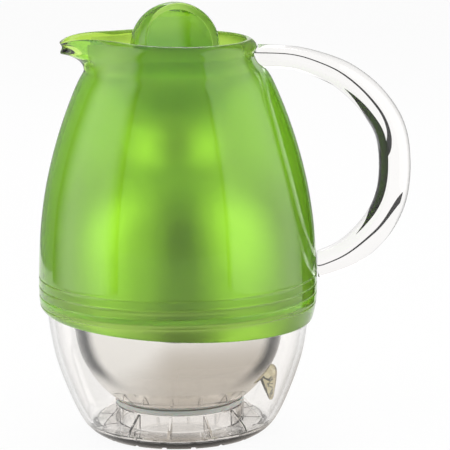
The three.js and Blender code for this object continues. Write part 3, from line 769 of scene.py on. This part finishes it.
funnel = turned("funnel", [
    (23.3, 184.3), (26.7, 184.3), (27.0, 184.6), (27.0, 186.4), (26.6, 186.8), (25.9, 187.3),
    (25.6, 188.2), (25.6, 191.0), (26.0, 192.0), (27.0, 192.9), (29.7, 194.3), (43.9, 201.4),
    (45.0, 202.2), (45.4, 203.2), (45.4, 204.9), (45.0, 205.3), (43.8, 205.3), (42.9, 204.8),
    (30.9, 197.9), (29.6, 197.1), (28.5, 196.7), (23.8, 196.7), (23.2, 196.5), (23.0, 196.0),
    (23.0, 184.7),
], FINE)
dress(funnel, "jug", "pour_funnel", pale_green)

neck_gasket = turned("mouth_gasket", [
    (23.3, 182.35), (27.0, 182.3), (27.3, 182.0), (27.3, 177.2), (27.6, 176.8), (28.9, 176.8),
    (29.3, 177.2), (29.3, 183.5), (28.8, 183.95), (23.4, 183.95), (23.0, 183.6), (23.0, 182.7),
], MEDIUM)
dress(neck_gasket, "jug", "neck_gasket", silicone)


# ---- Stopper: grip, flange, threaded plug and its rings

GRIP_MIDDLE, GRIP_RADIUS = Vector((0, 0, 217.5)), 24.8


def flat_way(side):
    """The way that the front flat (side 1) or the back flat (side -1) faces."""
    turn, lean = math.radians(22 - 90 * side), math.radians(20)
    return Vector((math.cos(lean) * math.cos(turn), math.cos(lean) * math.sin(turn), math.sin(lean)))


def grip_form(name, radius, distance, bottom):
    """A dome on a short skirt, sliced by the two leaning flats."""
    arc = [(radius * math.cos(math.radians(a)), 217.5 + radius * math.sin(math.radians(a)))
           for a in range(0, 88, 3)]
    foot = [(0, bottom), (radius - 0.5, bottom), (radius, bottom + 0.5), (radius, 210.0)]
    piece = turned(name, foot + arc + [(0.4, 217.5 + radius), (0, 217.5 + radius)], MEDIUM)
    for side in (1, -1):
        way = flat_way(side)
        open_up(piece)
        bpy.ops.mesh.select_all(action="SELECT")
        bpy.ops.mesh.bisect(
            plane_co=(GRIP_MIDDLE + way * distance) * MM, plane_no=way, use_fill=True,
            clear_outer=True, threshold=1e-7)
        close_up()
    return piece


def make_grip():
    piece = grip_form("grip", GRIP_RADIUS, 12.3, 203.3)
    for side in (1, -1):
        way = flat_way(side)
        open_up(piece)
        take_faces(piece, lambda at, normal: normal.dot(way) > 0.999)
        bpy.ops.mesh.inset(thickness=0.7 * MM, depth=0)
        middle = (GRIP_MIDDLE + way * 8.3) * MM
        bpy.ops.mesh.extrude_region_move(TRANSFORM_OT_translate={"value": way * -4.0 * MM})
        bpy.ops.transform.resize(value=(0.91,) * 3, center_override=middle)
        close_up()
    inside = grip_form("inside", GRIP_RADIUS - 2.5, 5.6, 201.0)
    cut_by(piece, inside)
    rounded(piece, 0.45, segments=3, angle=30)
    piece.data.materials.append(clear_green)
    piece.data.materials.append(frosted_green)
    open_up(piece)
    take_faces(piece, lambda at, way: way.dot(at - GRIP_MIDDLE) < -0.3)
    piece.active_material_index = 1
    bpy.ops.object.material_slot_assign()
    close_up()
    return piece


dress(make_grip(), "stopper", "stopper_knob", clear_green, angle=35)

flange = turned("flange", [
    (0, 199.3), (26.9, 199.3), (27.3, 199.5), (27.5, 199.9), (27.5, 202.0), (27.2, 202.6),
    (26.5, 203.0), (0, 203.0),
], MEDIUM)
dress(flange, "stopper", "stopper_flange", clear_green)


def make_plug():
    piece = turned("plug", [
        (0, 177.0), (17.2, 177.0), (17.8, 177.6), (17.8, 178.7), (16.8, 178.75), (16.8, 182.25),
        (17.8, 182.3), (17.8, 198.6), (17.4, 199.0), (16.0, 199.0), (15.8, 198.8), (15.8, 182.3),
        (14.8, 181.3), (14.8, 179.0), (0, 179.0),
    ], MEDIUM)
    for index in range(3):
        let_go()
        bpy.ops.mesh.primitive_plane_add(size=MM, location=(0, 0, 0))
        lug = bpy.context.active_object
        open_up(lug)
        bpy.ops.mesh.select_all(action="SELECT")
        start, sweep, steps = -29 + 120 * index, 58, 12
        mesh = bmesh.from_edit_mesh(lug.data)
        stand = (Matrix.Rotation(math.radians(start), 4, "Z")
                 @ Matrix.Translation(Vector((19.75, 0, 190.5 - 0.5)) * MM)
                 @ Matrix.Rotation(math.pi / 2, 4, "X") @ Matrix.Diagonal((5.9, 2.6, 1, 1)))
        bmesh.ops.transform(mesh, matrix=stand, verts=mesh.verts)
        bmesh.update_edit_mesh(lug.data)
        for _ in range(steps):
            bpy.ops.mesh.extrude_region_move(TRANSFORM_OT_translate={"value": (0, 0, sweep / 360 * 6 / steps * MM)})
            mesh = bmesh.from_edit_mesh(lug.data)
            bmesh.ops.transform(mesh, matrix=Matrix.Rotation(math.radians(sweep / steps), 4, "Z"),
                                verts=[v for v in mesh.verts if v.select])
            bmesh.update_edit_mesh(lug.data)
        seal_up(lug)
        rounded(lug, 0.4, segments=2)
        cut_by(piece, lug, "UNION")
    return piece


dress(make_plug(), "stopper", "stopper_plug", frosted_green)

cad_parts["stopper_core"].data.materials.clear()
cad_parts["stopper_core"].data.materials.append(rigid_foam)

seal_lip = turned("seal_lip", [
    (17.1, 179.2), (17.3, 179.0), (17.8, 179.0), (19.6, 180.1), (20.2, 180.5), (19.6, 180.9),
    (17.8, 182.0), (17.3, 182.0), (17.1, 181.8),
], MEDIUM)
dress(seal_lip, "seal", "stopper_seal_ring", silicone)

flange_gasket = turned("flange_gasket", band(23.3, 27.2, 197.0, 199.0, 0.4), MEDIUM)
dress(flange_gasket, "gasket", "stopper_gasket", silicone)


# ---- Studio: camera, floor, backdrop light, soft boxes and two dark flags

def place_camera():
    tilt, roll = math.radians(11.14), math.radians(0.59)
    right, up = Vector((1, 0, 0)), Vector((0, math.sin(tilt), math.cos(tilt)))
    back = Vector((0, -math.cos(tilt), math.sin(tilt)))
    turned_right = right * math.cos(roll) - up * math.sin(roll)
    turned_up = right * math.sin(roll) + up * math.cos(roll)
    lens = bpy.data.cameras.new("camera")
    lens.sensor_width = 36
    lens.lens = 209.06
    lens.clip_end = 100
    camera = bpy.data.objects.new("camera", lens)
    bpy.context.scene.collection.objects.link(camera)
    axes = Matrix((turned_right, turned_up, back)).transposed().to_4x4()
    camera.matrix_world = Matrix.Translation(Vector((0.02668, 0, 0.11666)) + back * 1.46343) @ axes
    bpy.context.scene.camera = camera


def stage_plane(name, place, size, facing=None):
    let_go()
    bpy.ops.mesh.primitive_plane_add(size=1, location=place)
    plane = bpy.context.active_object
    plane.name = name
    plane.scale = (*size, 1)
    if facing is not None:
        plane.rotation_euler = (Vector(facing) - Vector(place)).to_track_quat("Z", "Y").to_euler()
    return plane


def seen_share(nodes, link, by_eye, by_glass):
    """One share for rays from the eye, one for rays off gloss or through glass, else nothing."""
    path = nodes.new("ShaderNodeLightPath")
    either = nodes.new("ShaderNodeMath")
    either.operation = "MAXIMUM"
    glass = nodes.new("ShaderNodeMath")
    glass.operation = "MULTIPLY"
    glass.inputs[1].default_value = by_glass
    total = nodes.new("ShaderNodeMath")
    total.operation = "MULTIPLY_ADD"
    total.inputs[1].default_value = by_eye
    link(path.outputs["Is Glossy Ray"], either.inputs[0])
    link(path.outputs["Is Transmission Ray"], either.inputs[1])
    link(either.outputs[0], glass.inputs[0])
    link(path.outputs["Is Camera Ray"], total.inputs[0])
    link(glass.outputs[0], total.inputs[2])
    return total.outputs[0]


def dim_mirrored(nodes, link, sheet, tone, near, far, least):
    """Paints a shadow round the sheet's middle for mirrored rays, as a fixed glowing tone that is faintest to the
    left.

    Rays that turned inside a wall, which passed one to three surfaces, see the sheet as it is."""
    path = nodes.new("ShaderNodeLightPath")
    in_wall = nodes.new("ShaderNodeMath")
    in_wall.operation = "COMPARE"
    in_wall.inputs[1].default_value = 2.0
    in_wall.inputs[2].default_value = 1.4
    turns = nodes.new("ShaderNodeMath")
    turns.operation = "MULTIPLY_ADD"
    turns.inputs[1].default_value = -100.0
    mirrored = nodes.new("ShaderNodeMath")
    mirrored.operation = "GREATER_THAN"
    mirrored.inputs[1].default_value = 0.5
    place_on = nodes.new("ShaderNodeTexCoord")
    away = nodes.new("ShaderNodeVectorMath")
    away.operation = "LENGTH"
    fade = nodes.new("ShaderNodeMapRange")
    fade.interpolation_type = "SMOOTHSTEP"
    fade.inputs["From Min"].default_value = near / STAGE
    fade.inputs["From Max"].default_value = far / STAGE
    fade.inputs["To Min"].default_value = 1.0
    fade.inputs["To Max"].default_value = 0.0
    split = nodes.new("ShaderNodeSeparateXYZ")
    side = nodes.new("ShaderNodeMapRange")
    side.interpolation_type = "SMOOTHSTEP"
    side.inputs["From Min"].default_value = -0.09 / STAGE
    side.inputs["From Max"].default_value = 0.0
    side.inputs["To Min"].default_value = least
    link(place_on.outputs["Object"], split.inputs["Vector"])
    link(split.outputs["X"], side.inputs["Value"])
    product = nodes.new("ShaderNodeMath")
    product.operation = "MULTIPLY"
    amount = nodes.new("ShaderNodeMath")
    amount.operation = "MULTIPLY"
    painted_floor_shade = nodes.new("ShaderNodeEmission")
    painted_floor_shade.inputs["Color"].default_value = (*tone, 1)
    mix = nodes.new("ShaderNodeMixShader")
    link(path.outputs["Transmission Depth"], in_wall.inputs[0])
    link(in_wall.outputs[0], turns.inputs[0])
    link(path.outputs["Glossy Depth"], turns.inputs[2])
    link(turns.outputs[0], mirrored.inputs[0])
    link(place_on.outputs["Object"], away.inputs[0])
    link(away.outputs["Value"], fade.inputs["Value"])
    link(fade.outputs["Result"], product.inputs[0])
    link(mirrored.outputs[0], product.inputs[1])
    link(product.outputs[0], amount.inputs[0])
    link(side.outputs["Result"], amount.inputs[1])
    link(amount.outputs[0], mix.inputs["Fac"])
    link(sheet, mix.inputs[1])
    link(painted_floor_shade.outputs[0], mix.inputs[2])
    return mix.outputs[0]


def stage_finish(name, by_eye, by_glass, dimmed=False):
    """A pale matt sheet that the eye, gloss and glass see in part as evenly lit white."""
    finish = bpy.data.materials.new(name)
    finish.use_nodes = True
    nodes, link = finish.node_tree.nodes, finish.node_tree.links.new
    nodes.clear()
    matte = nodes.new("ShaderNodeBsdfDiffuse")
    matte.inputs["Color"].default_value = (0.93, 0.93, 0.93, 1)
    glow = nodes.new("ShaderNodeEmission")
    glow.inputs["Color"].default_value = (1, 1, 1, 1)
    glow.inputs["Strength"].default_value = 1.0
    mix = nodes.new("ShaderNodeMixShader")
    out = nodes.new("ShaderNodeOutputMaterial")
    link(seen_share(nodes, link, by_eye, by_glass), mix.inputs["Fac"])
    link(matte.outputs[0], mix.inputs[1])
    link(glow.outputs[0], mix.inputs[2])
    sheet = mix.outputs[0]
    if dimmed:
        # painted shadow: reflections see a fixed glowing tone on the floor round the jug, lightest to the left
        sheet = dim_mirrored(nodes, link, sheet, (0.62, 0.58, 0.53), 0.10, 0.26, 0.1)
    link(sheet, out.inputs["Surface"])
    return finish


def light_world(strength, by_glass):
    world = bpy.data.worlds.new("studio")
    bpy.context.scene.world = world
    world.use_nodes = True
    nodes, link = world.node_tree.nodes, world.node_tree.links.new
    nodes.clear()
    room = nodes.new("ShaderNodeBackground")
    room.inputs["Color"].default_value = (1, 1, 1, 1)
    room.inputs["Strength"].default_value = strength
    white = nodes.new("ShaderNodeBackground")
    white.inputs["Color"].default_value = (1, 1, 1, 1)
    white.inputs["Strength"].default_value = 1.0
    mix = nodes.new("ShaderNodeMixShader")
    out = nodes.new("ShaderNodeOutputWorld")
    link(seen_share(nodes, link, 1.0, by_glass), mix.inputs["Fac"])
    link(room.outputs[0], mix.inputs[1])
    link(white.outputs[0], mix.inputs[2])
    link(mix.outputs[0], out.inputs["Surface"])


def soft_box(name, place, size, aim, radiance, fade, low_share, far_fade=0.25):
    """A soft box that fades towards both its side edges and towards its foot."""
    box = stage_plane(name, place, size, facing=aim)
    finish = bpy.data.materials.new(name + "_cloth")
    finish.use_nodes = True
    nodes, link = finish.node_tree.nodes, finish.node_tree.links.new
    nodes.clear()
    place_on = nodes.new("ShaderNodeTexCoord")
    split = nodes.new("ShaderNodeSeparateXYZ")
    across = nodes.new("ShaderNodeMapRange")
    across.interpolation_type = "SMOOTHSTEP"
    across.inputs["From Min"].default_value = -0.5
    across.inputs["From Max"].default_value = fade - 0.5
    back_across = nodes.new("ShaderNodeMapRange")
    back_across.interpolation_type = "SMOOTHSTEP"
    back_across.inputs["From Min"].default_value = 0.5
    back_across.inputs["From Max"].default_value = 0.5 - far_fade
    upward = nodes.new("ShaderNodeMapRange")
    upward.inputs["From Min"].default_value = -0.5
    upward.inputs["From Max"].default_value = 0.1
    upward.inputs["To Min"].default_value = low_share
    sides = nodes.new("ShaderNodeMath")
    sides.operation = "MULTIPLY"
    both = nodes.new("ShaderNodeMath")
    both.operation = "MULTIPLY"
    front = nodes.new("ShaderNodeNewGeometry")
    level = nodes.new("ShaderNodeMapRange")
    level.inputs["To Max"].default_value = radiance
    glow = nodes.new("ShaderNodeEmission")
    dark = nodes.new("ShaderNodeBsdfTransparent")
    mix = nodes.new("ShaderNodeMixShader")
    out = nodes.new("ShaderNodeOutputMaterial")
    link(place_on.outputs["Object"], split.inputs["Vector"])
    link(split.outputs["X"], across.inputs["Value"])
    link(split.outputs["Y"], upward.inputs["Value"])
    link(split.outputs["X"], back_across.inputs["Value"])
    link(across.outputs[0], sides.inputs[0])
    link(back_across.outputs[0], sides.inputs[1])
    link(sides.outputs[0], both.inputs[0])
    link(upward.outputs[0], both.inputs[1])
    link(both.outputs[0], level.inputs["Value"])
    link(level.outputs[0], glow.inputs["Strength"])
    link(front.outputs["Backfacing"], mix.inputs["Fac"])
    link(glow.outputs[0], mix.inputs[1])
    link(dark.outputs[0], mix.inputs[2])
    link(mix.outputs[0], out.inputs["Surface"])
    box.data.materials.append(finish)
    box.visible_camera = False
    box.visible_shadow = False


def make_flag(name, place, size, tone, glass=True, gloss=True, walls=0, flat=False):
    """A dark card. With walls given, only rays through at least that many surfaces see it."""
    flag = stage_plane(name, place, size, facing=None if flat else (0, 0, place[2]))
    finish = bpy.data.materials.new(name + "_cloth")
    finish.use_nodes = True
    nodes, link = finish.node_tree.nodes, finish.node_tree.links.new
    nodes.clear()
    path = nodes.new("ShaderNodeLightPath")
    passed = nodes.new("ShaderNodeMath")
    passed.operation = "GREATER_THAN"
    passed.inputs[1].default_value = walls - 0.5
    clear = nodes.new("ShaderNodeBsdfTransparent")
    cloth = nodes.new("ShaderNodeBsdfDiffuse")
    cloth.inputs["Color"].default_value = (tone, tone, tone, 1)
    mix = nodes.new("ShaderNodeMixShader")
    out = nodes.new("ShaderNodeOutputMaterial")
    link(path.outputs["Transmission Depth"], passed.inputs[0])
    link(passed.outputs[0], mix.inputs["Fac"])
    link(clear.outputs[0], mix.inputs[1])
    link(cloth.outputs[0], mix.inputs[2])
    link(mix.outputs[0], out.inputs["Surface"])
    flag.data.materials.append(finish)
    flag.visible_transmission = glass
    flag.visible_glossy = gloss
    flag.visible_camera = False
    flag.visible_diffuse = False
    flag.visible_shadow = False


place_camera()
floor = stage_plane("floor", (0, 0, -GAP * MM), (STAGE, STAGE))
# the floor shows a painted shadow round the jug in mirrored rays
floor.data.materials.append(stage_finish("pale_floor", 0.93, 0.93, dimmed=True))
sweep = stage_plane("sweep", (0, 3.2, 1.6), (6.0, 3.2), facing=(0, 0, 1.6))
sweep.data.materials.append(stage_finish("white_sweep", 0.97, 0.95))
light_world(0.6, 0.5)
soft_box("left_box", (-0.50, -0.11, 0.50), (0.74, 1.0), (0, -0.11, 0.50), 2.3, 0.3, 0.9, 0.35)
soft_box("right_box", (0.50, -0.12, 0.50), (0.96, 1.0), (0, -0.12, 0.50), 1.9, 0.3, 0.95, 0.12)
soft_box("top_box", (0, 0.95, 1.10), (1.5, 0.8), (0, 0, 0.15), 3.0, 0.2, 0.9)
make_flag("front_flag", (0.09, -1.0, 0.6), (0.82, 1.2), 0.02, gloss=False, walls=4)
make_flag("high_flag", (0.09, -0.47, 1.1), (0.60, 0.75), 0.02, gloss=False, walls=4, flat=True)
make_flag("front_cloth", (0.06, -0.60, 0.001), (0.50, 0.80), 0.30, gloss=False, walls=4, flat=True)
make_flag("low_strip", (0.25, 1.0, 0.03), (1.2, 0.05), 0.01)
make_flag("right_card", (0.24, 0.185, 0.12), (0.17, 0.24), 0.01)
make_flag("left_flag", (-0.36, 0.44, 0.5), (0.62, 1.0), 0.35, glass=False)
make_flag("right_flag", (0.36, 0.44, 0.5), (0.62, 1.0), 0.3, glass=False)

scene = bpy.context.scene
scene.view_settings.view_transform = "Standard"
